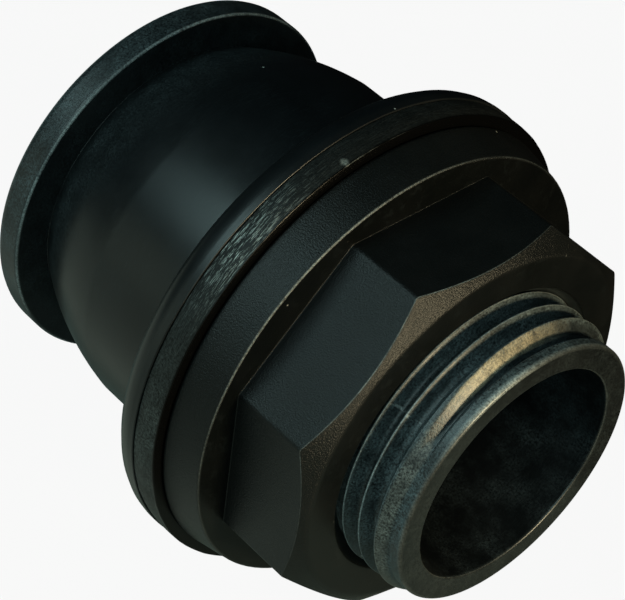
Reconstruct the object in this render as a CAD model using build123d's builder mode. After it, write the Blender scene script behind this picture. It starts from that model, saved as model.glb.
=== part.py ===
from build123d import *
from math import cos, pi, radians, tan
import os

# Tank connector for a one-inch pipe thread: a moulded plastic body whose spigot goes through a hole in the
# wall of a water tank, a rubber sealing washer against its flange, and a flanged back nut on the spigot.
# Millimetres. The origin is the centre of the flange's sealing face. +X runs along the bore towards the
# threaded end and +Z is up, as the connector sits in the side wall of a tank.

# Body: threaded spigot, chamfered at its end, and the bore through it
spigot_diameter = 33.25
spigot_length = 26.0
spigot_lead = 1.15
bore_diameter = 25.8

# Body: flange, with a full round on its back edge
flange_diameter = 56.5
flange_thickness = 3.8
flange_front_round = 0.3
flange_back_round = 3.0
flange_round_share = 0.9

# Body: barrel behind the flange, and the neck that tapers from it in one large arc to the collar
barrel_diameter = 43.5
barrel_length = 12.2
barrel_root_round = 0.8
neck_diameter = 35.6
neck_length = 12.2
neck_arc = 32.3
neck_root_round = 0.3

# Body: collar at the far end, round the mouth of a socket for a threaded pipe
collar_diameter = 43.9
collar_thickness = 3.7
collar_front_round = 0.4
collar_back_round = 1.1
socket_diameter = 30.3
socket_depth = 18.0
socket_mouth = 1.3
socket_shoulder = 0.8

# Sealing washer: a flat ring, loose on the spigot and a little inside the flange's rim
washer_inset = 0.05
washer_thickness = 3.0
washer_clearance = 0.4

# Back nut: a drafted flange that bears on the washer, and an eight-sided grip crowned at its front corners
nut_ledge = 2.25
nut_flange_thickness = 4.7
nut_flange_draft = 11.0
nut_flange_round = 0.45
nut_edge_round = 0.25
grip_flat_count = 8
grip_across_flats = 44.0
grip_length = 10.8
grip_turn = 14.4
crown_inset = 0.8
crown_angle = 35.0
crown_front_round = 0.4
grip_root_round = 0.2
nut_clearance = 0.08
nut_countersink = 0.9

# Stations along the bore that the pieces share
flange_back = -flange_thickness
barrel_back = flange_back - barrel_length
collar_front = barrel_back - neck_length
collar_back = collar_front - collar_thickness
socket_floor = collar_back + socket_depth
nut_seat = washer_thickness
grip_back = nut_seat + nut_flange_thickness
nut_front = grip_back + grip_length

# Diameters that follow from the sizes above
washer_diameter = flange_diameter - 2 * washer_inset
nut_bore = spigot_diameter + 2 * nut_clearance
crown_diameter = grip_across_flats - 2 * crown_inset
grip_across_corners = grip_across_flats / cos(pi / grip_flat_count)
ledge_diameter = grip_across_corners + 2 * nut_ledge
nut_flange_diameter = ledge_diameter + 2 * nut_flange_thickness * tan(radians(nut_flange_draft))


def ring_at(piece, station, diameter):
    """Return the circular edge of a piece that is nearest to a diameter at a station along the bore."""
    rings = piece.edges().filter_by(GeomType.CIRCLE)
    return rings.sort_by(lambda ring: abs(2 * ring.radius - diameter) + abs(ring.arc_center.X - station))[0]


os.makedirs("parts", exist_ok=True)

# The body is one moulding, turned from its half section about the bore
with BuildPart() as body:
    with BuildSketch(Plane.XZ):
        with BuildLine():
            Polyline(
                (socket_floor, bore_diameter / 2),
                (spigot_length, bore_diameter / 2),
                (spigot_length, spigot_diameter / 2),
                (0, spigot_diameter / 2),
                (0, flange_diameter / 2),
                (flange_back, flange_diameter / 2),
                (flange_back, barrel_diameter / 2),
                (barrel_back, barrel_diameter / 2),
            )
            neck_curve = RadiusArc(
                (barrel_back, barrel_diameter / 2),
                (collar_front, neck_diameter / 2),
                -neck_arc,
            )
            Polyline(
                neck_curve @ 1,
                (collar_front, collar_diameter / 2),
                (collar_back, collar_diameter / 2),
                (collar_back, socket_diameter / 2),
                (socket_floor, socket_diameter / 2),
                (socket_floor, bore_diameter / 2),
            )
        make_face()
    revolve(axis=Axis.X)
    # The flange's back edge is rounded as far as its thickness leaves room beside the front edge's round
    back_room = flange_round_share * (flange_thickness - flange_front_round)
    back_round = min(flange_back_round, back_room)
    fillet(ring_at(body, flange_back, flange_diameter), back_round)
    fillet(ring_at(body, 0, flange_diameter), flange_front_round)
    fillet(ring_at(body, collar_front, collar_diameter), collar_front_round)
    fillet(ring_at(body, collar_back, collar_diameter), collar_back_round)
    fillet(ring_at(body, flange_back, barrel_diameter), barrel_root_round)
    fillet(ring_at(body, collar_front, neck_diameter), neck_root_round)
    # A lead for the nut on the spigot's end, one for the pipe in the socket's mouth, and one into the bore
    chamfer(ring_at(body, spigot_length, spigot_diameter), spigot_lead)
    chamfer(ring_at(body, collar_back, socket_diameter), socket_mouth)
    chamfer(ring_at(body, socket_floor, bore_diameter), socket_shoulder)
body.part.label = "body"
export_step(body.part, "parts/body.step")

# The washer is cut from rubber sheet and lies on the flange's sealing face
with BuildPart() as sealing_washer:
    with BuildSketch(Plane.YZ):
        Circle(washer_diameter / 2)
        Circle(spigot_diameter / 2 + washer_clearance, mode=Mode.SUBTRACT)
    extrude(amount=washer_thickness)
sealing_washer.part.label = "sealing_washer"
export_step(sealing_washer.part, "parts/sealing_washer.step")

# The nut's grip is an eight-sided prism whose front corners are turned down to a cone round the front face
with BuildPart() as back_nut:
    with BuildSketch(Plane.YZ.offset(grip_back)):
        RegularPolygon(grip_across_flats / 2, grip_flat_count, major_radius=False, rotation=grip_turn)
    extrude(amount=grip_length)
    with BuildSketch(Plane.XZ):
        with BuildLine():
            crown_edge = Line(
                (nut_front, crown_diameter / 2),
                (nut_front - grip_length, crown_diameter / 2 + grip_length * tan(radians(90 - crown_angle))),
            )
            Polyline(crown_edge @ 1, (nut_front - grip_length, 0), (nut_front, 0), crown_edge @ 0)
        make_face()
    revolve(axis=Axis.X, mode=Mode.INTERSECT)
    # The flange narrows towards the grip, so that it draws from the mould
    with BuildSketch(Plane.XZ):
        with BuildLine():
            Polyline(
                (nut_seat, 0),
                (nut_seat, nut_flange_diameter / 2),
                (grip_back, ledge_diameter / 2),
                (grip_back, 0),
                close=True,
            )
        make_face()
    revolve(axis=Axis.X)
    grip_roots = back_nut.edges().filter_by(GeomType.LINE).filter_by(Plane.YZ)
    fillet(grip_roots, grip_root_round)
    fillet(ring_at(back_nut, nut_seat, nut_flange_diameter), nut_flange_round)
    fillet(ring_at(back_nut, grip_back, ledge_diameter), nut_edge_round)
    fillet(ring_at(back_nut, nut_front, crown_diameter), crown_front_round)
    # The bore runs on the spigot's thread and is opened out at both ends
    with BuildSketch(Plane.YZ.offset(nut_seat)):
        Circle(nut_bore / 2)
    extrude(amount=nut_front - nut_seat, mode=Mode.SUBTRACT)
    chamfer(ring_at(back_nut, nut_seat, nut_bore), nut_countersink)
    chamfer(ring_at(back_nut, nut_front, nut_bore), nut_countersink)
back_nut.part.label = "back_nut"
export_step(back_nut.part, "parts/back_nut.step")
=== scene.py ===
import bmesh
import bpy
import numpy as np
from mathutils import Matrix, Vector


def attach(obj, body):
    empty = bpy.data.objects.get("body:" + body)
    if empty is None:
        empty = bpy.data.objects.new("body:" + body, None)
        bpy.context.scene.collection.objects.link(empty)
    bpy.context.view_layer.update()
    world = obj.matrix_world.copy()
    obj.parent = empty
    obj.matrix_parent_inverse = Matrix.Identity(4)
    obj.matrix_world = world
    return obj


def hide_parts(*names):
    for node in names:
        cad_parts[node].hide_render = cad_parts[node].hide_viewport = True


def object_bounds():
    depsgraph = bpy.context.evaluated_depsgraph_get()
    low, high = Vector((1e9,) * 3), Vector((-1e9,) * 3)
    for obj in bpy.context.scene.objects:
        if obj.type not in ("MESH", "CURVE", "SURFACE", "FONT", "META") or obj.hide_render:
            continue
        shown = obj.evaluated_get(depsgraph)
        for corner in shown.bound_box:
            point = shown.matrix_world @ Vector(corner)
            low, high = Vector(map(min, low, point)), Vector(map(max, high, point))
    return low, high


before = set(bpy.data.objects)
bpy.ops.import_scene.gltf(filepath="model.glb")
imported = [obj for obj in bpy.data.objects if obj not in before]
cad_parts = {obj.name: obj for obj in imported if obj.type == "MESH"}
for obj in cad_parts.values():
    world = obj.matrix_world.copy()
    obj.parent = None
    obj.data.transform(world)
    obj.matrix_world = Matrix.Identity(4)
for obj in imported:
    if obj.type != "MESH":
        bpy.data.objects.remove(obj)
cad_low, cad_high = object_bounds()

# Body
# One moulding of black polypropylene: a collar round a threaded socket, a neck that swells into the barrel,
# the sealing flange and the threaded spigot. The mould was polished, so it is satin where nothing rubbed it.

# Sizes are millimetres: stations along the bore from the sealing face, and radii. Materials are in metres.
millimetre = 0.001
around = np.radians(np.linspace(0.0, 360.0, 161))
narrow_round = 0.06
mouth_step = 0.3

thread_pitch = 2.309
thread_crest = 16.62
thread_tip_round = 0.16
thread_root_round = 0.5
thread_half_angle = np.radians(27.5)
thread_start = 19.73
thread_fade = (0.7, 2.4)

spigot_end = 26.0
spigot_end_radius = 15.4
spigot_face_margin = 0.2
spigot_lip = 0.45
spigot_ring = 24.65
spigot_ring_radius = 15.8
spigot_ring_back = 24.1
spigot_lead = 23.2
spigot_lead_slope = 0.58
ring_wall_slope = 2.2
runout_turns = (1.25, 1.37)
runout_shift = 4.0
runout_power = 0.6
flank_lift = 0.06
flank_slopes = (1.92, 1.25)
flank_slope_turns = (1.17, 1.26)
start_sink = np.radians((300.0, 360.0))
bore_radius = 12.9
bore_lip = 0.3

flange_radius = 28.25
flange_back = -3.8
flange_front_round = 0.12
flange_back_round = 3.0
barrel_radius = 21.75
barrel_back = -16.0
barrel_root_round = 0.8
neck_arc = 32.3
neck_slopes = np.radians(np.linspace(6.5, 29.38, 18))
neck_root_round = 0.06
collar_front = -28.2
collar_back = -31.9
collar_radius = 21.95
collar_front_round = 0.4
collar_back_round = 1.1
collar_rubs = (0.8, 0.55)
socket_radius = 15.15
socket_mouth = 1.3
socket_floor = -13.9
socket_shoulder = 0.8
socket_thread_room = 0.1
socket_thread_end = (2.6, 1.2)
bore_rub = 0.35


def rounded_profile(corners, rounds, rubs):
    """Give an open profile rounded corners.

    corners is an array (corner, azimuth, 2) of station and radius, and rounds gives each inner corner's
    tangent length. A corner becomes a circular arc, written as a rational quadratic curve whose middle weight
    is the cosine of half the corner's turn. One more row just outside each end of the arc keeps the sides
    beside it flat. rubs says how far each inner corner is worn. Returns the rows (row, azimuth, 2) and the
    wear of each row, which is full in the middle of an arc and fades towards its ends.
    """
    hold_length = 0.12
    arc_rows = 7
    inner = corners[1:-1]
    back = corners[:-2] - inner
    ahead = corners[2:] - inner
    back = back / np.linalg.norm(back, axis=-1, keepdims=True)
    ahead = ahead / np.linalg.norm(ahead, axis=-1, keepdims=True)
    reach = np.asarray(rounds, float)[:, None, None]
    hold = np.where(reach > 0.0, reach + hold_length, 0.0)
    share = np.linspace(0.0, 1.0, arc_rows)[None, :, None, None]
    pull = np.sqrt((1.0 - np.sum(back * ahead, axis=-1, keepdims=True)) / 2.0)[:, None]
    first = (inner + reach * back)[:, None]
    last = (inner + reach * ahead)[:, None]
    weights = ((1.0 - share) ** 2, 2.0 * pull * share * (1.0 - share), share ** 2)
    arcs = (weights[0] * first + weights[1] * inner[:, None] + weights[2] * last) / sum(weights)
    before = (inner + hold * back)[:, None]
    after = (inner + hold * ahead)[:, None]
    rows = np.concatenate([before, arcs, after], axis=1)
    rows = np.concatenate([corners[:1], rows.reshape(-1, *rows.shape[2:]), corners[-1:]])
    crest = np.concatenate([[0.0], np.sin(np.pi * np.linspace(0.0, 1.0, arc_rows)) ** 2, [0.0]])
    wear = (crest[None, :] * np.asarray(rubs, float)[:, None]).ravel()
    return rows, np.concatenate([[0.0], wear, [0.0]])


def ring_corners(points, azimuths):
    """Repeat a list of (station, radius) corners at every azimuth."""
    points = np.asarray(points, float)
    return np.broadcast_to(points[:, None, :], (len(points), len(azimuths), 2))


def thread_profile(station, azimuth):
    """Radius of the pipe thread at a station and azimuth, and how far along the bore its nearest crest is.

    The crest is a right-handed helix, one pitch forward for each turn. Straight flanks stand at half the
    thread angle, with a small circular arc at the crest and a larger one at the root.
    """
    turns = (station - thread_start) / thread_pitch - azimuth / (2.0 * np.pi)
    from_crest = np.abs(turns - np.round(turns)) * thread_pitch
    from_root = thread_pitch / 2.0 - from_crest
    tip_end = thread_tip_round * np.cos(thread_half_angle)
    root_end = thread_root_round * np.cos(thread_half_angle)
    tip_drop = thread_tip_round * (1.0 - np.sin(thread_half_angle))
    root_drop = thread_root_round * (1.0 - np.sin(thread_half_angle))
    flank_width = thread_pitch / 2.0 - tip_end - root_end
    depth = tip_drop + root_drop + flank_width / np.tan(thread_half_angle)
    flank = tip_drop + (from_crest - tip_end) / np.tan(thread_half_angle)
    tip_arc = thread_tip_round - np.sqrt(thread_tip_round ** 2 - np.minimum(from_crest, tip_end) ** 2)
    root_arc = thread_root_round - np.sqrt(thread_root_round ** 2 - np.minimum(from_root, root_end) ** 2)
    drop = np.where(from_root < root_end, depth - root_arc, flank)
    drop = np.where(from_crest < tip_end, tip_arc, drop)
    return thread_crest - drop, from_crest


def helix_stations(low, high, azimuths):
    """Stations of rows that wind with the thread, from the high end to the low end.

    The rows of one pitch are laid where the thread bends. They are repeated pitch by pitch, moved forward by
    the azimuth's share of a pitch and held between the two ends, so the seam's sides meet one pitch apart.
    """
    from_crest = np.array([0.0, 0.05, 0.1, 0.142, 0.28, 0.42, 0.56, 0.711, 0.85, 1.0, thread_pitch / 2.0])
    one_pitch = np.concatenate([from_crest, thread_pitch - from_crest[-2:0:-1]])
    first_turn = np.floor((low - thread_start) / thread_pitch) - 2
    last_turn = np.ceil((high - thread_start) / thread_pitch) + 1
    turns = np.arange(first_turn, last_turn + 1)
    rows = thread_start + (turns[:, None] * thread_pitch + one_pitch[None, :]).ravel()
    rows = rows[::-1, None] + thread_pitch * azimuths[None, :] / (2.0 * np.pi)
    return np.clip(rows, low, high)


def eased(value, start, stop):
    """0 before start and 1 after stop, with a smooth cubic between them."""
    share = np.clip((value - start) / (stop - start), 0.0, 1.0)
    return share * share * (3.0 - 2.0 * share)


def angle_from(azimuths, centre):
    """Signed angle from a centre azimuth, between minus and plus half a turn."""
    return (azimuths - centre + np.pi) % (2.0 * np.pi) - np.pi


def nearness(azimuths, centre, reach, elsewhere=0.0):
    """1 at a centre azimuth, falling as a bell curve of the given reach to the level it has elsewhere."""
    return elsewhere + (1.0 - elsewhere) * np.exp(-(angle_from(azimuths, centre) / reach) ** 2)


def over_rows(stretches, *levels):
    """One value for each point of a piece, from a level for each stretch of its rows.

    A level is an array for the whole stretch, one value for each of its rows, or a single number.
    """
    return np.concatenate([np.broadcast_to(level, rows.shape[:2]) for level, rows in zip(levels, stretches)])


def closed_surface(name, rows, azimuths, marks):
    """Make a mesh object from rows of (station, radius) carried round the bore.

    A point is (station, radius times cosine, radius times sine) of its azimuth. The last row is joined to the
    first. Points that meet, at the seam and where rows run together, are merged, and faces that shrink to
    nothing go. marks holds named values, one for each point, which the materials read.
    """
    merge_distance = 2e-6
    rows = np.concatenate([rows, rows[:1]])
    count, columns = rows.shape[:2]
    stations, radii = rows[..., 0], rows[..., 1]
    points = np.stack([stations, radii * np.cos(azimuths), radii * np.sin(azimuths)], axis=-1)
    index = np.arange(count * columns).reshape(count, columns)
    faces = np.stack([index[:-1, :-1], index[:-1, 1:], index[1:, 1:], index[1:, :-1]], axis=-1)
    mesh = bpy.data.meshes.new(name)
    mesh.from_pydata((points * millimetre).reshape(-1, 3), [], faces.reshape(-1, 4))
    for mark, values in marks.items():
        values = np.concatenate([values, values[:1]]).astype(np.float32)
        mesh.attributes.new(mark, "FLOAT", "POINT").data.foreach_set("value", values.ravel())
    surface = bmesh.new()
    surface.from_mesh(mesh)
    bmesh.ops.remove_doubles(surface, verts=surface.verts, dist=merge_distance)
    bmesh.ops.recalc_face_normals(surface, faces=surface.faces)
    surface.to_mesh(mesh)
    surface.free()
    mesh.shade_smooth()
    piece = bpy.data.objects.new(name, mesh)
    bpy.context.scene.collection.objects.link(piece)
    return piece


# The outside, from the foot of the spigot over flange, barrel and neck to the socket's mouth
thread_root = thread_profile(thread_start + thread_pitch / 2.0, 0.0)[0]
neck_stations = barrel_back + neck_arc * (np.sin(neck_slopes[0]) - np.sin(neck_slopes))
neck_radii = barrel_radius - neck_arc * (np.cos(neck_slopes[0]) - np.cos(neck_slopes))
outside_corners = [
    (mouth_step, thread_root), (0.0, thread_root), (0.0, flange_radius), (flange_back, flange_radius),
    (flange_back, barrel_radius), *zip(neck_stations, neck_radii),
    (collar_front, collar_radius), (collar_back, collar_radius), (collar_back, socket_radius + socket_mouth),
    (collar_back + mouth_step, socket_radius + socket_mouth - mouth_step),
]
outside_rounds = [narrow_round, flange_front_round, flange_back_round, barrel_root_round]
outside_rubs = [0.0] * (len(outside_rounds) + len(neck_slopes))
outside_rounds += [0.0] * (len(neck_slopes) - 1)
outside_rounds += [neck_root_round, collar_front_round, collar_back_round, narrow_round]
outside_rubs += [*collar_rubs, 0.0]
outside, outside_wear = rounded_profile(ring_corners(outside_corners, around), outside_rounds, outside_rubs)

# The socket's own thread, drawn out to nothing at its mouth and at its floor
socket_stations = helix_stations(collar_back + mouth_step, socket_floor - mouth_step, around)[::-1]
socket_thread = thread_profile(socket_stations, around)[0]
socket_cut = eased(socket_stations - collar_back, *thread_fade)
socket_cut = socket_cut * eased(socket_floor - socket_stations, socket_thread_end[1], socket_thread_end[0])
socket_wall = socket_radius + np.maximum(socket_thread + socket_thread_room - socket_radius, 0.0) * socket_cut
socket_wall = np.maximum(socket_wall, socket_radius + socket_mouth - (socket_stations - collar_back))
socket = np.stack([socket_stations, socket_wall], axis=-1)

# The bore, from the socket's floor to the spigot's end face
bore_corners = [
    (socket_floor - mouth_step, socket_radius), (socket_floor, socket_radius),
    (socket_floor, bore_radius + socket_shoulder), (socket_floor + socket_shoulder, bore_radius),
    (spigot_end, bore_radius), (spigot_end, spigot_end_radius - spigot_face_margin),
]
bore_rounds = [narrow_round, narrow_round, narrow_round, bore_lip]
bore, bore_wear = rounded_profile(ring_corners(bore_corners, around), bore_rounds, [0.0, 0.0, 0.0, bore_rub])

# The spigot's thread fades at the flange. At the other end a cone leads on to it from a plain ring with a
# rounded lip.
lip_start = spigot_end - spigot_lip
lip_stations = spigot_end - spigot_lip * (1.0 - np.sin(np.linspace(np.pi / 2.0, 0.0, 9)))
plain_stations = np.linspace(lip_start, spigot_ring_back, 13)[1:]
ring_stations = np.concatenate([[spigot_end], lip_stations, plain_stations])
spigot_stations = np.concatenate([
    np.broadcast_to(ring_stations[:, None], (len(ring_stations), len(around))),
    helix_stations(mouth_step, spigot_ring_back, around),
])
spigot_thread, from_crest = thread_profile(spigot_stations, around)
spigot_fade = eased(spigot_stations, *thread_fade)
spigot_wall = thread_root + (spigot_thread - thread_root) * spigot_fade
lead_cone = thread_crest - spigot_lead_slope * np.maximum(spigot_stations - spigot_lead, 0.0)
lead_cone = np.maximum(lead_cone, spigot_ring_radius)

# The last groove runs out in an eighth of a turn: it grows shallow, and its near flank moves and leans
turns_along = (spigot_stations - thread_start) / thread_pitch - around / (2.0 * np.pi)
last_turn = 1.0 + around / (2.0 * np.pi)
runout_length = runout_turns[1] - runout_turns[0]
groove_left = np.clip((runout_turns[1] - last_turn) / runout_length, 0.0, 1.0)
groove_floor = lead_cone - (thread_crest - thread_root) * groove_left ** runout_power
flank_edge = thread_start + thread_pitch * last_turn
flank_edge = flank_edge + runout_shift * np.clip(last_turn - runout_turns[0], 0.0, runout_length)
flank_slope = flank_slopes[0] + (flank_slopes[1] - flank_slopes[0]) * eased(last_turn, *flank_slope_turns)
near_flank = thread_crest + flank_lift - flank_slope * (spigot_stations - flank_edge)
far_wall = lead_cone - ring_wall_slope * (spigot_ring - spigot_stations)
last_groove = np.minimum(lead_cone, np.maximum(np.maximum(groove_floor, near_flank), far_wall))
spigot_wall = np.where(turns_along > 1.0, last_groove, np.minimum(spigot_wall, lead_cone))

# The thread starts at the seam: over the last sixth of the turn its first ridge sinks into the groove ahead
past_start = spigot_stations - thread_start - thread_pitch
start_flank = thread_crest + flank_lift - flank_slopes[0] * past_start
start_floor = lead_cone - (thread_crest - thread_root)
start_groove = np.minimum(lead_cone, np.maximum(np.maximum(start_floor, start_flank), far_wall))
sunk = eased(around, *start_sink) * (past_start > 0.0)
spigot_wall = spigot_wall + (start_groove - spigot_wall) * sunk
lip_share = np.clip((spigot_stations - lip_start) / spigot_lip, 0.0, 1.0)
lip_drop = (spigot_ring_radius - spigot_end_radius) * (1.0 - np.sqrt(1.0 - lip_share ** 2))
spigot_wall = np.where(lip_share > 0.0, spigot_ring_radius - lip_drop, spigot_wall)
spigot_wall[0] = spigot_end_radius - spigot_face_margin
spigot = np.stack([spigot_stations, spigot_wall], axis=-1)
body_stretches = (outside, socket, bore, spigot)

# Worn lines on the crests and lip, and a painted highlight on the lip and leaning flank, on the lit side
highlight_azimuth = np.radians(103.0)
highlight_reach = np.radians(26.0)
crest_rub_width = 0.11
crest_rub_end = 1.5
last_crest_turns = (0.55, 0.65)
last_crest_loss = 0.6
lip_mark_place = spigot_end - 0.25
lip_mark_width = 0.45
lip_rub_everywhere = 0.36
lip_highlight = 0.56
flank_highlight = 0.8
flank_highlight_starts = (-0.05, 0.1)
flank_highlight_stops = (0.9, 1.2)
flank_highlight_reach = np.where(angle_from(around, highlight_azimuth) < 0.0, 1.8, 0.6) * highlight_reach
tan_highlight_gain = 2.0

# painted highlight: lip and flank marks are strongest round the azimuth where the warm lamp's highlight falls
toward_highlight = nearness(around, highlight_azimuth, highlight_reach)
crest_wear = np.exp(-(from_crest / crest_rub_width) ** 2) * spigot_fade * (turns_along < crest_rub_end)
crest_wear = crest_wear * (1.0 - last_crest_loss * eased(turns_along, *last_crest_turns))
lip_wear_and_highlight = np.exp(-((spigot_stations - lip_mark_place) / lip_mark_width) ** 2)
lip_wear_and_highlight = lip_wear_and_highlight * (lip_rub_everywhere + lip_highlight * toward_highlight ** 2)
lip_wear_and_highlight[0] = 0.0
past_edge = spigot_stations - flank_edge
flank_painted_highlight = eased(past_edge, *flank_highlight_starts) * (1.0 - eased(past_edge, *flank_highlight_stops))
flank_painted_highlight = flank_highlight * flank_painted_highlight * (turns_along > 1.0) * nearness(around, highlight_azimuth, flank_highlight_reach)
spigot_wear_and_highlight = np.maximum(np.maximum(crest_wear, lip_wear_and_highlight), flank_painted_highlight)

# Dust: on the collar's rim, thin on the neck, over the thread, and in blots in the bore
collar_dust_share = 0.85
collar_blots = 0.6
neck_haze_share = 0.22
socket_dust = 0.5
groove_clean = 0.6
end_clean = 0.84
end_dust = 0.16
bore_dust = 0.26
collar_dust_edges = (-0.3, 0.5)
collar_dust_radii = (19.0, 21.0)
neck_haze_margin = 2.0
groove_depths = (0.25, 0.6)
end_margins = (0.5, 0.1)
bore_margin = 0.4

past_neck = collar_front - outside[..., 0]
collar_dust = eased(past_neck, *collar_dust_edges) * eased(outside[..., 1], *collar_dust_radii)
collar_dust = collar_dust_share * collar_dust
neck_haze = eased(past_neck, collar_front - barrel_back + neck_haze_margin, -neck_haze_margin)
neck_haze = neck_haze_share * neck_haze * (past_neck < collar_dust_edges[1])
outside_dust = np.maximum(collar_dust, neck_haze)
in_groove = eased(lead_cone - spigot_wall, *groove_depths) * (turns_along > 1.0)
near_end = eased(spigot_stations, spigot_end - end_margins[0], spigot_end - end_margins[1])
spigot_dust = (1.0 - groove_clean * in_groove) * (1.0 - end_clean * near_end)
in_bore = 1.0 - eased(bore[..., 0], spigot_end - bore_margin, spigot_end)
# The wear mark also carries the painted highlight on the lip and leaning flank; tan holds the flank's painted
# tan highlight.
body = closed_surface("body_moulding", np.concatenate(body_stretches), around, {
    "wear": over_rows(body_stretches, outside_wear[:, None], 0.0, bore_wear[:, None], spigot_wear_and_highlight),
    "dust": over_rows(body_stretches, outside_dust, socket_dust, end_dust + bore_dust * in_bore, spigot_dust),
    "blots": over_rows(body_stretches, collar_blots * (collar_dust > 0.0), 0.0, in_bore, 0.0),
    "tan": over_rows(body_stretches, 0.0, 0.0, 0.0, np.clip(tan_highlight_gain * flank_painted_highlight, 0.0, 1.0)),
})


def add_node(tree, kind, inputs=None, **settings):
    """Add a node, set its properties, and give each named input a value or another node's output."""
    node = tree.nodes.new(kind)
    for setting, value in settings.items():
        setattr(node, setting, value)
    for key, value in (inputs or {}).items():
        if isinstance(value, bpy.types.NodeSocket):
            tree.links.new(value, node.inputs[key])
        else:
            node.inputs[key].default_value = value
    return node


def new_group(name, inputs, outputs):
    """Start a shader node group with number inputs, each with its usual value, and number outputs."""
    tree = bpy.data.node_groups.new(name, "ShaderNodeTree")
    for label, value in inputs.items():
        socket_in = tree.interface.new_socket(label, in_out="INPUT", socket_type="NodeSocketFloat")
        socket_in.default_value = value
    for label in outputs:
        tree.interface.new_socket(label, in_out="OUTPUT", socket_type="NodeSocketFloat")
    return tree, tree.nodes.new("NodeGroupInput").outputs, tree.nodes.new("NodeGroupOutput").inputs


def object_place(tree):
    """The point being shaded, in the object's own coordinates."""
    return add_node(tree, "ShaderNodeTexCoord").outputs["Object"]


def ramp(tree, value, low, high):
    """A number that goes from 0 to 1 while a value goes from low to high."""
    inputs = {"Value": value, "From Min": low, "From Max": high}
    return add_node(tree, "ShaderNodeMapRange", inputs).outputs["Result"]


def times(tree, first, second):
    """The product of two numbers."""
    return add_node(tree, "ShaderNodeMath", {0: first, 1: second}, operation="MULTIPLY").outputs[0]


def sum_of(tree, first, second):
    """The sum of two numbers, held between 0 and 1."""
    return add_node(tree, "ShaderNodeMath", {0: first, 1: second}, operation="ADD", use_clamp=True).outputs[0]


def speckle(tree, vector, scale, detail, rough):
    """Noise from 0 to 1 at a number of cells to the metre."""
    inputs = {"Vector": vector, "Scale": scale, "Detail": detail, "Roughness": rough}
    return add_node(tree, "ShaderNodeTexNoise", inputs).outputs["Fac"]


def noise_mask(tree, vector, scale, detail, rough, low, high):
    """Noise drawn out so that it is 0 under a low level and 1 over a high one."""
    return ramp(tree, speckle(tree, vector, scale, detail, rough), low, high)


def attribute_value(tree, name):
    """One of the values that the mesh carries at its points."""
    return add_node(tree, "ShaderNodeAttribute", attribute_name=name).outputs["Fac"]


# Fine grain of a moulded surface: small pits, and a slow unevenness of the skin
grain_group, given, grain_out = new_group("moulded_grain", {"Cells": 3000.0}, ["Height", "Cloud"])
place = object_place(grain_group)
fine_pits = speckle(grain_group, place, scale=given["Cells"], detail=3.0, rough=0.6)
slow_skin = noise_mask(grain_group, place, scale=160.0, detail=3.0, rough=0.5, low=0.35, high=0.65)
grain_group.links.new(fine_pits, grain_out["Height"])
grain_group.links.new(slow_skin, grain_out["Cloud"])

# Dust: a pepper of fine grains where the surface holds it, and a few pale specks anywhere
dust_inputs = {"Held": 0.0, "Blotted": 0.0, "Specks": 0.1}
dust_group, given, dust_out = new_group("caught_dust", dust_inputs, ["Pepper", "Speck"])
place = object_place(dust_group)
pepper = noise_mask(dust_group, place, scale=4300.0, detail=2.0, rough=0.7, low=0.34, high=0.70)
patches = noise_mask(dust_group, place, scale=420.0, detail=3.0, rough=0.6, low=0.12, high=0.62)
blots = noise_mask(dust_group, place, scale=230.0, detail=4.0, rough=0.65, low=0.40, high=0.72)
blotted = add_node(dust_group, "ShaderNodeMix", {0: given["Blotted"], 2: 1.0, 3: blots}).outputs[0]
pepper = times(dust_group, times(dust_group, pepper, patches), blotted)
dust_group.links.new(times(dust_group, pepper, given["Held"]), dust_out["Pepper"])
flecks = add_node(dust_group, "ShaderNodeTexVoronoi", {"Vector": place, "Scale": 260.0})
fleck_draw = add_node(dust_group, "ShaderNodeSeparateColor", {"Color": flecks.outputs["Color"]})
fleck_chosen = ramp(dust_group, fleck_draw.outputs["Red"], low=0.76, high=0.92)
fleck_dot = ramp(dust_group, flecks.outputs["Distance"], low=0.038, high=0.016)
fleck_dot = times(dust_group, fleck_dot, fleck_chosen)
dust_group.links.new(times(dust_group, fleck_dot, given["Specks"]), dust_out["Speck"])

# Rubbed edges, and on the body a painted highlight: the mesh marks them, and noise of three sizes breaks the
# mark up
rub_group, given, rub_out = new_group("rubbed_edge", {"Strength": 1.0}, ["Mask"])
place = object_place(rub_group)
rub_fine_share = 0.7
rub_chips = noise_mask(rub_group, place, scale=900.0, detail=4.0, rough=0.7, low=0.20, high=0.52)
rub_gaps = noise_mask(rub_group, place, scale=130.0, detail=2.0, rough=0.5, low=0.15, high=0.52)
rub_fine = noise_mask(rub_group, place, scale=5200.0, detail=2.0, rough=0.7, low=0.36, high=0.62)
rub_fine = sum_of(rub_group, times(rub_group, rub_fine, rub_fine_share), 1.0 - rub_fine_share)
rub_break = times(rub_group, times(rub_group, rub_chips, rub_gaps), rub_fine)
rub_edge = ramp(rub_group, attribute_value(rub_group, "wear"), low=0.25, high=1.0)
rub_mask = times(rub_group, times(rub_group, rub_edge, rub_break), given["Strength"])
rub_group.links.new(rub_mask, rub_out["Mask"])

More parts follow.
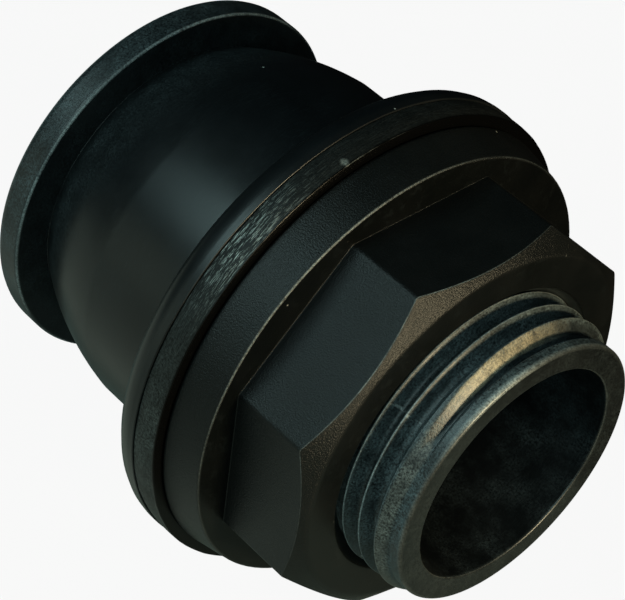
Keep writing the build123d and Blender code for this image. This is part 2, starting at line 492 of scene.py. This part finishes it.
# Scuffs: short hair lines that run round the piece, thin along the bore, everywhere or in a few patches
scuff_cells = (15000.0, 800.0, 800.0)
scuff_group, given, scuff_out = new_group("turned_scuffs", {"Amount": 1.0}, ["Mask", "Lines"])
place = object_place(scuff_group)
scuff_way = add_node(scuff_group, "ShaderNodeMapping", {"Vector": place, "Scale": scuff_cells})
scuff_way = scuff_way.outputs["Vector"]
hair_lines = noise_mask(scuff_group, scuff_way, scale=1.0, detail=3.0, rough=0.65, low=0.55, high=0.63)
hair_lines = times(scuff_group, hair_lines, given["Amount"])
scuff_patch = noise_mask(scuff_group, place, scale=95.0, detail=2.0, rough=0.5, low=0.40, high=0.62)
scuff_group.links.new(hair_lines, scuff_out["Lines"])
scuff_group.links.new(times(scuff_group, hair_lines, scuff_patch), scuff_out["Mask"])


def use_group(tree, group, **values):
    """Place a node group in a material with its own values, and return its outputs."""
    return add_node(tree, "ShaderNodeGroup", values, node_tree=group).outputs


def laid_over(tree, mask, under, over):
    """One colour laid over another where a mask says so."""
    return add_node(tree, "ShaderNodeMix", {0: mask, 6: under, 7: over}, data_type="RGBA").outputs[2]


def new_material(name, specular):
    """An empty material whose Principled shader has one constant gloss level, and its node tree."""
    material = bpy.data.materials.new(name)
    material.use_nodes = True
    shader = material.node_tree.nodes["Principled BSDF"]
    shader.inputs["Specular IOR Level"].default_value = specular
    return material, material.node_tree


def put_on(piece, material, colour, roughness, relief):
    """Wire a colour, a roughness and a bump's inputs to a material, and put the material on a piece."""
    tree = material.node_tree
    shader = tree.nodes["Principled BSDF"]
    bump = add_node(tree, "ShaderNodeBump", relief)
    tree.links.new(colour, shader.inputs["Base Color"])
    tree.links.new(roughness, shader.inputs["Roughness"])
    tree.links.new(bump.outputs["Normal"], shader.inputs["Normal"])
    piece.data.materials.append(material)


# Satin black under a pepper of dust, with rubbed edges, and a pale broken line where the mould's halves met
body_colour = (0.0026, 0.0032, 0.0036, 1.0)
body_cloud_colour = (0.0038, 0.0045, 0.0050, 1.0)
dust_colour = (0.080, 0.102, 0.107, 1.0)
pale_rub_and_highlight_colour = (0.29, 0.315, 0.31, 1.0)
painted_tan_highlight_colour = (0.46, 0.38, 0.25, 1.0)
speck_colour = (0.42, 0.43, 0.40, 1.0)
body_dust_cover = 0.9
body_roughness = 0.31
body_cloud_roughness = 0.05
body_dust_roughness = 0.2
body_grain_height = 0.3
body_dust_height = 0.7
parting_azimuth = np.radians(129.0)
parting_normal = (0.0, -np.sin(parting_azimuth), np.cos(parting_azimuth))
parting_width = 0.00022
parting_core = 0.3 * parting_width
parting_start = (0.0180, 0.0195)
parting_stop = (0.0236, 0.0226)
parting_radii = (0.0150, 0.0153)
parting_cover = 0.7
off_axis = (0.0, 1.0, 1.0)

body_plastic, tree = new_material("satin_black_polypropylene", specular=0.28)
place = object_place(tree)
grain = use_group(tree, grain_group, Cells=2600.0)
held = attribute_value(tree, "dust")
blotted = attribute_value(tree, "blots")
dust = use_group(tree, dust_group, Held=held, Blotted=blotted, Specks=0.8)
rub = use_group(tree, rub_group, Strength=1.0)["Mask"]
scuffs = use_group(tree, scuff_group, Amount=0.05)["Mask"]
# painted highlight: tan and pale colour on the lip and the leaning flank stand in for the warm lamp's
# highlight
rub_and_highlight_colour = laid_over(tree, attribute_value(tree, "tan"), pale_rub_and_highlight_colour, painted_tan_highlight_colour)
colour = laid_over(tree, grain["Cloud"], body_colour, body_cloud_colour)
colour = laid_over(tree, scuffs, colour, dust_colour)
colour = laid_over(tree, times(tree, dust["Pepper"], body_dust_cover), colour, dust_colour)
colour = laid_over(tree, rub, colour, rub_and_highlight_colour)
parting_side = add_node(tree, "ShaderNodeVectorMath", {0: place, 1: parting_normal}, operation="DOT_PRODUCT")
parting_side = parting_side.outputs["Value"]
parting_gap = add_node(tree, "ShaderNodeMath", {0: parting_side}, operation="ABSOLUTE").outputs[0]
along_bore = add_node(tree, "ShaderNodeSeparateXYZ", {"Vector": place}).outputs["X"]
across_bore = add_node(tree, "ShaderNodeVectorMath", {0: place, 1: off_axis}, operation="MULTIPLY").outputs[0]
off_bore = add_node(tree, "ShaderNodeVectorMath", {0: across_bore}, operation="LENGTH").outputs["Value"]
parting_line = noise_mask(tree, place, scale=1300.0, detail=3.0, rough=0.7, low=0.48, high=0.60)
parting_line = times(tree, parting_line, ramp(tree, parting_gap, low=parting_width, high=parting_core))
parting_line = times(tree, parting_line, ramp(tree, along_bore, *parting_start))
parting_line = times(tree, parting_line, ramp(tree, along_bore, *parting_stop))
parting_line = times(tree, parting_line, ramp(tree, off_bore, *parting_radii))
colour = laid_over(tree, times(tree, parting_line, parting_cover), colour, pale_rub_and_highlight_colour)
colour = laid_over(tree, dust["Speck"], colour, speck_colour)
roughness = times(tree, sum_of(tree, dust["Pepper"], scuffs), body_dust_roughness)
roughness = sum_of(tree, times(tree, grain["Cloud"], body_cloud_roughness), roughness)
roughness = sum_of(tree, roughness, body_roughness)
skin_height = times(tree, dust["Pepper"], body_dust_height)
skin_height = sum_of(tree, times(tree, grain["Height"], body_grain_height), skin_height)
put_on(body, body_plastic, colour, roughness, {"Strength": 0.45, "Distance": 0.00004, "Height": skin_height})
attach(body, "connector")
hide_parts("body")

# Sealing washer
# A flat ring cut from black rubber sheet, loose on the spigot and clamped against the flange by the nut.
# The cutter has left its rim ragged, and the rim is scuffed and dusty where it has been handled.
# The rim's scuffed stretch also carries a painted highlight.
washer_front = 3.0
washer_inside = 17.03
washer_outside = 28.2
washer_edge = 0.10
washer_edge_rub = 0.9
washer_around = np.radians(np.linspace(0.0, 360.0, 361))
rim_margin = 0.35
rim_count = 9
rim_radii = (washer_outside - 0.6, washer_outside - 0.1)
rim_front = (0.02, 0.3)
rim_back = (0.01, 0.12)
cut_depth = 0.16
cut_bulge = 0.10
cut_wave_height = 0.045

washer_corners = [
    (washer_front / 2.0, washer_inside), (washer_front, washer_inside), (washer_front, washer_outside),
    (0.0, washer_outside), (0.0, washer_inside), (washer_front / 2.0, washer_inside),
]
washer_points = ring_corners(washer_corners, washer_around)
washer, washer_wear = rounded_profile(washer_points, [washer_edge] * 4, [0.0, washer_edge_rub, 0.0, 0.0])

# More rows across the rim, in between its two rounded edges
rim_stations = np.linspace(washer_front - rim_margin, rim_margin, rim_count)
rim = np.stack([rim_stations, np.full(rim_count, washer_outside)], axis=1)
past_rim = (washer[:, 0, 1] > washer_outside - washer_edge) & (washer[:, 0, 0] < washer_front / 2.0)
rim_at = int(np.argmax(past_rim))
washer = np.concatenate([washer[:rim_at], ring_corners(rim, washer_around), washer[rim_at:]])
washer_wear = np.concatenate([washer_wear[:rim_at], np.zeros(rim_count), washer_wear[rim_at:]])
washer_stations = washer[..., 0]


def ragged(stations, azimuths, seed):
    """A rough cut: a sum of sine waves round the rim, each with its own count, height and drift.

    A wave's height is one over a power of its count. Its start and its drift along the bore are drawn.
    """
    height_power = 0.55
    drift_limit = 2.6
    draw = np.random.default_rng(seed)
    waves = np.array([3, 5, 9, 14, 23, 37, 58, 83, 120])[:, None, None]
    phases = draw.uniform(0.0, 2.0 * np.pi, len(waves))[:, None, None]
    drifts = draw.uniform(-drift_limit, drift_limit, len(waves))[:, None, None]
    return np.sum(np.sin(waves * azimuths + phases + drifts * stations) / waves ** height_power, axis=0)


near_rim = eased(washer[..., 1], *rim_radii)
cut_waves = ragged(washer_stations, washer_around, seed=7)
bulge = cut_bulge * np.sin(np.pi * np.clip(washer_stations / washer_front, 0.0, 1.0))
washer[..., 1] = washer[..., 1] + near_rim * (cut_wave_height * cut_waves - cut_depth + bulge)

# Marks on the rim: a scraped stretch with painted highlight, a front edge rubbed pale, powdery dust, a pale
# nick
scrape_highlight_azimuth = np.radians(121.0)
scrape_highlight_reach = np.radians(11.0)
scrape_highlight_elsewhere = 0.03
edge_azimuth = np.radians(93.0)
edge_reach = np.radians(10.0)
edge_elsewhere = 0.25
edge_waves = (-0.4, 1.0)
powder_azimuth = np.radians(174.0)
powder_reach = np.radians(28.0)
powder_elsewhere = 0.12
nick_azimuth = np.radians(95.0)
nick_reach = 0.016
nick_station = 2.45
nick_width = 0.5

on_rim = near_rim * eased(washer_front - washer_stations, *rim_front) * eased(washer_stations, *rim_back)
edge_share = eased(cut_waves, *edge_waves) * nearness(washer_around, edge_azimuth, edge_reach, edge_elsewhere)
nick = np.exp(-((washer_stations - nick_station) / nick_width) ** 2)
nick = nick * nearness(washer_around, nick_azimuth, nick_reach) * near_rim
washer_piece = closed_surface("rubber_washer", washer, washer_around, {
    "wear": washer_wear[:, None] * edge_share + nick,
    "rim": on_rim,
    "dust": on_rim * nearness(washer_around, powder_azimuth, powder_reach, powder_elsewhere),
    "scrape_and_highlight": on_rim * nearness(washer_around, scrape_highlight_azimuth, scrape_highlight_reach, scrape_highlight_elsewhere),
})

# Dull black rubber with fine lines from the cutter on its rim; its faces carry painted shade, near black
rubber_colour = (0.0022, 0.0024, 0.0023, 1.0)
rubber_pale_colour = (0.0038, 0.0041, 0.0038, 1.0)
rubber_face_shade_colour = (0.0008, 0.0008, 0.0008, 1.0)
rubber_dust_and_highlight_colour = (0.31, 0.325, 0.30, 1.0)
rubber_dust_cover = 0.16
rubber_rub_cover = 0.7
face_roughness = 0.25
rim_roughness = 0.18
rim_cloud_roughness = 0.12
rim_scuff_roughness = 0.1
cut_line_cells = (2600.0, 420.0, 420.0)
cut_line_height = 0.7
rubber_grain_height = 0.3
rim_relief = 0.5

washer_rubber, tree = new_material("cut_black_rubber", specular=0.13)
rim_share = attribute_value(tree, "rim")
grain = use_group(tree, grain_group, Cells=1900.0)
dust = use_group(tree, dust_group, Held=attribute_value(tree, "dust"), Specks=1.0)
rub = use_group(tree, rub_group, Strength=1.0)["Mask"]
scuffs = use_group(tree, scuff_group, Amount=attribute_value(tree, "scrape_and_highlight"))["Lines"]
colour = laid_over(tree, grain["Cloud"], rubber_colour, rubber_pale_colour)
# painted shade: off the rim, the faces take a near-black colour for the dark gap by the nut's flange
colour = laid_over(tree, rim_share, rubber_face_shade_colour, colour)
colour = laid_over(tree, times(tree, dust["Pepper"], rubber_dust_cover), colour, rubber_dust_and_highlight_colour)
# painted highlight: the pale scrape lines lie where the lamp's highlight crosses the rim
colour = laid_over(tree, scuffs, colour, rubber_dust_and_highlight_colour)
colour = laid_over(tree, times(tree, rub, rubber_rub_cover), colour, rubber_dust_and_highlight_colour)
colour = laid_over(tree, dust["Speck"], colour, speck_colour)
roughness = times(tree, scuffs, rim_scuff_roughness)
roughness = sum_of(tree, times(tree, grain["Cloud"], rim_cloud_roughness), roughness)
roughness = times(tree, sum_of(tree, roughness, rim_roughness), rim_share)
roughness = sum_of(tree, roughness, face_roughness)
cut_way = add_node(tree, "ShaderNodeMapping", {"Vector": object_place(tree), "Scale": cut_line_cells})
cut_lines = speckle(tree, cut_way.outputs["Vector"], scale=1.0, detail=4.0, rough=0.65)
skin_height = times(tree, grain["Height"], rubber_grain_height)
skin_height = sum_of(tree, times(tree, cut_lines, cut_line_height), skin_height)
skin_strength = times(tree, rim_share, rim_relief)
skin = {"Strength": skin_strength, "Distance": 0.00016, "Height": skin_height}
put_on(washer_piece, washer_rubber, colour, roughness, skin)
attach(washer_piece, "washer")
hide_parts("sealing_washer")

# Back nut
# One moulding of black polypropylene with a fine spark-eroded matt: a drafted flange that bears on the washer
# and an eight-sided grip whose front corners are turned down to a cone. Its own thread runs on the spigot's.
nut_seat = 3.0
nut_front = 18.5
nut_rim_radius = 26.976
nut_ledge_radius = 26.062
nut_rim_round = 0.45
nut_edge_round = 0.25
nut_edge_rub = 1.0
grip_back = 7.7
grip_flats = 8
grip_apothem = 22.0
grip_corner_round = 0.7
grip_turn = np.radians(14.4)
grip_root_round = 0.08
crown_radius = 21.2
crown_slope = np.tan(np.radians(35.0))
crown_back_round = 0.12
crown_back_rub = 1.0
crown_front_round = 0.4
crown_front_rub = 0.15
nut_mouth_radius = 17.6
nut_thread_room = 0.14
nut_thread_tip = 15.92

# Azimuths lie close together on the grip's rounded corners, in shares of the angle that half a corner takes
flat_turn = 2.0 * np.pi / grip_flats
corner_centre = (grip_apothem - grip_corner_round) / np.cos(flat_turn / 2.0)
corner_bend = grip_corner_round / corner_centre * np.sin(flat_turn / 2.0)
near_corner = np.array([0.0, 0.35, 0.7, 1.0, 1.6]) * corner_bend
on_flat = np.linspace(2.4 * corner_bend, flat_turn / 2.0, 8)
one_side = np.concatenate([near_corner, on_flat])
one_flat = np.concatenate([one_side, flat_turn - one_side[-2:0:-1]])
nut_around = (grip_turn + np.arange(grip_flats)[:, None] * flat_turn + one_flat[None, :]).ravel()
nut_around = np.concatenate([nut_around, nut_around[:1] + 2.0 * np.pi])


def grip_outline(azimuth):
    """Radius of the eight-sided outline at an azimuth: straight flats joined by one arc at each corner.

    On a flat it is the apothem over the cosine of the angle from the flat's middle. On a corner it is where a
    ray from the bore leaves a circle of the corner's radius, whose centre lies on the corner's own line.
    """
    from_corner = np.abs((azimuth - grip_turn + flat_turn / 2.0) % flat_turn - flat_turn / 2.0)
    from_middle = flat_turn / 2.0 - from_corner
    flat_radius = grip_apothem / np.cos(from_middle)
    across = np.minimum(corner_centre * np.sin(from_corner), grip_corner_round)
    arc_radius = corner_centre * np.cos(from_corner) + np.sqrt(grip_corner_round ** 2 - across ** 2)
    flat_end = corner_centre * np.sin(flat_turn / 2.0)
    on_a_flat = flat_radius * np.sin(from_middle) < flat_end
    return np.where(on_a_flat, flat_radius, np.minimum(flat_radius, arc_radius))


def nut_corner(station, radius):
    """One corner of the nut's profile at every azimuth. Its station and radius may change round the nut."""
    shape = nut_around.shape
    return np.stack([np.broadcast_to(station, shape), np.broadcast_to(radius, shape)], axis=-1)


grip_radius = grip_outline(nut_around)
crown_back = nut_front - (grip_radius - crown_radius) * crown_slope
mouth_inside = nut_mouth_radius - mouth_step
nut_points = np.stack([
    nut_corner(nut_seat + mouth_step, mouth_inside), nut_corner(nut_seat, nut_mouth_radius),
    nut_corner(nut_seat, nut_rim_radius), nut_corner(grip_back, nut_ledge_radius),
    nut_corner(grip_back, grip_radius), nut_corner(crown_back, grip_radius),
    nut_corner(nut_front, crown_radius), nut_corner(nut_front, nut_mouth_radius),
    nut_corner(nut_front - mouth_step, mouth_inside),
])
nut_rounds = [narrow_round, nut_rim_round, nut_edge_round, grip_root_round]
nut_rounds += [crown_back_round, crown_front_round, narrow_round]
nut_rubs = [0.0, 0.0, nut_edge_rub, 0.0, crown_back_rub, crown_front_rub, 0.0]
nut_outside, nut_edges = rounded_profile(nut_points, nut_rounds, nut_rubs)

# The nut's thread has blunt crests, and a cone opens it at both mouths
nut_stations = helix_stations(nut_seat + mouth_step, nut_front - mouth_step, nut_around)
nut_thread = thread_profile(nut_stations, nut_around)[0]
nut_mouth = np.maximum(nut_seat - nut_stations, nut_stations - nut_front) + nut_mouth_radius
nut_wall = np.maximum(np.maximum(nut_thread + nut_thread_room, nut_thread_tip), nut_mouth)
nut_inside = np.stack([nut_stations, nut_wall], axis=-1)
nut_stretches = (nut_outside, nut_inside)

# Marks: edges rubbed most where the nut is gripped, dust in its thread, and a smooth front face and ledge
nut_rub_azimuth = np.radians(118.0)
nut_rub_reach = np.radians(36.0)
nut_rub_elsewhere = 0.36
nut_outside_dust = 0.02
nut_inside_dust = 0.6
face_margins = (0.1, 0.01)
ledge_margin = 0.005

nut_wear = nut_edges[:, None] * nearness(nut_around, nut_rub_azimuth, nut_rub_reach, nut_rub_elsewhere)
# painted shade: the ledge behind the grip is marked to be darkened
on_ledge = 1.0 * (np.abs(nut_outside[..., 0] - grip_back) < ledge_margin)
on_face = eased(nut_outside[..., 0], nut_front - face_margins[0], nut_front - face_margins[1])
back_nut = closed_surface("octagon_nut", np.concatenate(nut_stretches), nut_around, {
    "wear": over_rows(nut_stretches, nut_wear, 0.0),
    "dust": over_rows(nut_stretches, nut_outside_dust, nut_inside_dust),
    "matt": over_rows(nut_stretches, 1.0 - np.maximum(on_face, on_ledge), 0.0),
    "painted_ledge_shade": over_rows(nut_stretches, on_ledge, 0.0),
})

# Matt black, with painted shade darkening the ledge behind the grip
nut_colour = (0.0022, 0.0027, 0.0028, 1.0)
nut_cloud_colour = (0.0032, 0.0037, 0.0038, 1.0)
nut_ledge_shade_colour = (0.0003, 0.0005, 0.0005, 1.0)
nut_rubbed_colour = (0.265, 0.30, 0.30, 1.0)
nut_ledge_shade_cover = 0.75
nut_dust_cover = 0.35
nut_roughness = 0.28
nut_matt_roughness = 0.06
nut_cloud_roughness = 0.06
nut_dust_roughness = 0.2
nut_relief = 0.2
nut_matt_relief = 0.7

nut_plastic, tree = new_material("matt_black_polypropylene", specular=0.195)
matt_share = attribute_value(tree, "matt")
grain = use_group(tree, grain_group, Cells=5600.0)
dust = use_group(tree, dust_group, Held=attribute_value(tree, "dust"), Specks=0.6)
rub = use_group(tree, rub_group, Strength=0.55)["Mask"]
scuffs = use_group(tree, scuff_group, Amount=0.02)["Mask"]
colour = laid_over(tree, grain["Cloud"], nut_colour, nut_cloud_colour)
# painted shade: the ledge behind the grip is darkened towards black
colour = laid_over(tree, times(tree, attribute_value(tree, "painted_ledge_shade"), nut_ledge_shade_cover), colour, nut_ledge_shade_colour)
colour = laid_over(tree, times(tree, dust["Pepper"], nut_dust_cover), colour, dust_colour)
colour = laid_over(tree, scuffs, colour, dust_colour)
colour = laid_over(tree, rub, colour, nut_rubbed_colour)
colour = laid_over(tree, dust["Speck"], colour, speck_colour)
roughness = times(tree, dust["Pepper"], nut_dust_roughness)
roughness = sum_of(tree, times(tree, grain["Cloud"], nut_cloud_roughness), roughness)
roughness = sum_of(tree, roughness, times(tree, matt_share, nut_matt_roughness))
roughness = sum_of(tree, roughness, nut_roughness)
skin_strength = sum_of(tree, times(tree, matt_share, nut_matt_relief), nut_relief)
skin = {"Strength": skin_strength, "Distance": 0.00008, "Height": grain["Height"]}
put_on(back_nut, nut_plastic, colour, roughness, skin)
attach(back_nut, "nut")
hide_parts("back_nut")

# Floor
# A pale studio floor just under the flange. The camera sees it as white, with a small share of its own
# shading left, so that the connector's shadow stays on it. Reflections see it nearly as it is.
floor_gap = 0.0001
floor_reach = 3.0
floor_colour = (0.145, 0.170, 0.148, 1.0)
floor_white = (1.0, 1.0, 1.0, 1.0)
camera_share = 0.93
mirror_share = 0.02

floor_height = cad_low.z - floor_gap
floor_corners = [(-floor_reach, -floor_reach), (floor_reach, -floor_reach)]
floor_corners += [(floor_reach, floor_reach), (-floor_reach, floor_reach)]
floor_mesh = bpy.data.meshes.new("studio_floor")
floor_mesh.from_pydata([(x, y, floor_height) for x, y in floor_corners], [], [(0, 1, 2, 3)])
floor = bpy.data.objects.new("studio_floor", floor_mesh)
bpy.context.scene.collection.objects.link(floor)
floor_paint = bpy.data.materials.new("white_floor_paint")
floor_paint.use_nodes = True
tree = floor_paint.node_tree
tree.nodes.remove(tree.nodes["Principled BSDF"])
shaded = add_node(tree, "ShaderNodeBsdfDiffuse", {"Color": floor_colour}).outputs[0]
glowing = add_node(tree, "ShaderNodeEmission", {"Color": floor_white, "Strength": 1.0}).outputs[0]
path = add_node(tree, "ShaderNodeLightPath").outputs
mirrored = sum_of(tree, path["Is Glossy Ray"], path["Is Transmission Ray"])
white_share = times(tree, path["Is Camera Ray"], camera_share)
white_share = sum_of(tree, white_share, times(tree, mirrored, mirror_share))
floor_mix = add_node(tree, "ShaderNodeMixShader", {0: white_share, 1: shaded, 2: glowing})
tree.links.new(floor_mix.outputs[0], tree.nodes["Material Output"].inputs["Surface"])
floor_mesh.materials.append(floor_paint)

# Cards
# Three cards that show only in reflections and glow with a fixed light instead of being lit: a black one
# stands behind the connector, a black one lies on the floor beyond its threaded end, and a pale one lies on
# the floor on the window's side, a painted reflection of a pale card.
card_black = (0.004, 0.004, 0.004, 1.0)
pale_card_glow = (0.385, 0.465, 0.385, 1.0)
standing_along = (-0.30, 0.02)
standing_across = 0.055
standing_top = 0.14
black_along = (-0.02, 0.50)
black_across = (0.021, 0.70)
pale_along = (-0.35, 0.03)
pale_across = (-0.40, -0.030)
card_height = floor_height + 0.0005


def add_card(name, colour, first, second, third, fourth):
    """A flat card with four corners that glows with one even brightness, takes no light, and only reflections
    see.
    """
    mesh = bpy.data.meshes.new(name)
    mesh.from_pydata([first, second, third, fourth], [], [(0, 1, 2, 3)])
    paint = bpy.data.materials.new(name)
    paint.use_nodes = True
    shader = paint.node_tree.nodes["Principled BSDF"]
    shader.inputs["Base Color"].default_value = (0.0, 0.0, 0.0, 1.0)
    shader.inputs["Specular IOR Level"].default_value = 0.0
    shader.inputs["Emission Color"].default_value = colour
    shader.inputs["Emission Strength"].default_value = 1.0
    mesh.materials.append(paint)
    card = bpy.data.objects.new(name, mesh)
    bpy.context.scene.collection.objects.link(card)
    card.visible_camera = False
    card.visible_diffuse = False
    card.visible_shadow = False
    card.visible_transmission = False


def add_lying_card(name, colour, along, across):
    """A card that lies just over the floor, between two places along the bore and two across it."""
    near = [(station, across[0], card_height) for station in along]
    far = [(station, across[1], card_height) for station in along[::-1]]
    add_card(name, colour, *near, *far)


standing_foot = [(station, standing_across, floor_height) for station in standing_along]
standing_head = [(station, standing_across, standing_top) for station in standing_along[::-1]]
add_card("standing_card", card_black, *standing_foot, *standing_head)
add_lying_card("lying_card", card_black, black_along, black_across)
add_lying_card("glowing_pale_card", pale_card_glow, pale_along, pale_across)

# Light
# A cool softbox above the collar, a small warm lamp beyond the threaded end, a wide cool fill from above, a
# weak greenish lamp for the window at the side, and a dim room.
object_centre = Vector((-0.003, 0.0, 0.0))
room_colour = (0.017, 0.025, 0.028, 1.0)
bore_way = (1.0, 0.0, 0.0)
side_way = (0.0, 1.0, 0.0)
up_way = (0.0, 0.0, 1.0)


def add_lamp(name, towards, distance, along, sides, watts, tint):
    """An oblong area lamp, set at a distance from the object in one direction and facing it.

    sides are its length and width in metres, and its length runs along a second direction.
    """
    lamp = bpy.data.lights.new(name, "AREA")
    lamp.shape = "RECTANGLE"
    lamp.size, lamp.size_y = sides
    lamp.energy = watts
    lamp.color = tint
    holder = bpy.data.objects.new(name, lamp)
    outward = Vector(towards).normalized()
    sideways = outward.cross(Vector(along)).normalized()
    turn = Matrix((sideways.cross(outward), sideways, outward)).transposed()
    holder.matrix_world = Matrix.Translation(object_centre + outward * distance) @ turn.to_4x4()
    bpy.context.scene.collection.objects.link(holder)


add_lamp("cool_softbox", towards=(-0.33, -0.48, 0.813), distance=0.55, along=bore_way, sides=(0.27, 0.25),
         watts=1.55, tint=(0.67, 1.0, 1.0))
add_lamp("warm_lamp", towards=(0.972, 0.107, 0.185), distance=0.60, along=side_way, sides=(0.10, 0.10),
         watts=5.6, tint=(1.0, 0.84, 0.52))
add_lamp("sky_fill", towards=(0.45, -0.55, 0.70), distance=0.80, along=bore_way, sides=(0.60, 0.60),
         watts=3.2, tint=(0.68, 1.0, 0.985))
add_lamp("window_side", towards=(-0.504, -0.83, 0.15), distance=0.90, along=up_way, sides=(0.50, 0.50),
         watts=0.66, tint=(0.83, 1.0, 0.80))
world = bpy.data.worlds.new("dim_room")
world.use_nodes = True
world.node_tree.nodes["Background"].inputs["Color"].default_value = room_colour
world.node_tree.nodes["Background"].inputs["Strength"].default_value = 1.0
bpy.context.scene.world = world
bpy.context.scene.view_settings.view_transform = "Standard"

# Camera
# The photograph was taken from the threaded end, above and to one side, with a long lens.
photo_width = 625.0
focal_pixels = 2300.0
camera_right = Vector((0.65684, 0.75404, 0.0))
camera_up = Vector((-0.56043, 0.48819, 0.66902))
camera_back = Vector((0.50448, -0.43944, 0.74324))
camera_place = Vector((0.11883, -0.10785, 0.18268))

lens = bpy.data.cameras.new("camera")
lens.sensor_width = 36.0
lens.lens = focal_pixels / photo_width * lens.sensor_width
lens.clip_start = 0.01
lens.clip_end = 20.0
camera = bpy.data.objects.new("camera", lens)
turn = Matrix((camera_right, camera_up, camera_back)).transposed()
camera.matrix_world = Matrix.Translation(camera_place) @ turn.to_4x4()
bpy.context.scene.collection.objects.link(camera)
bpy.context.scene.camera = camera
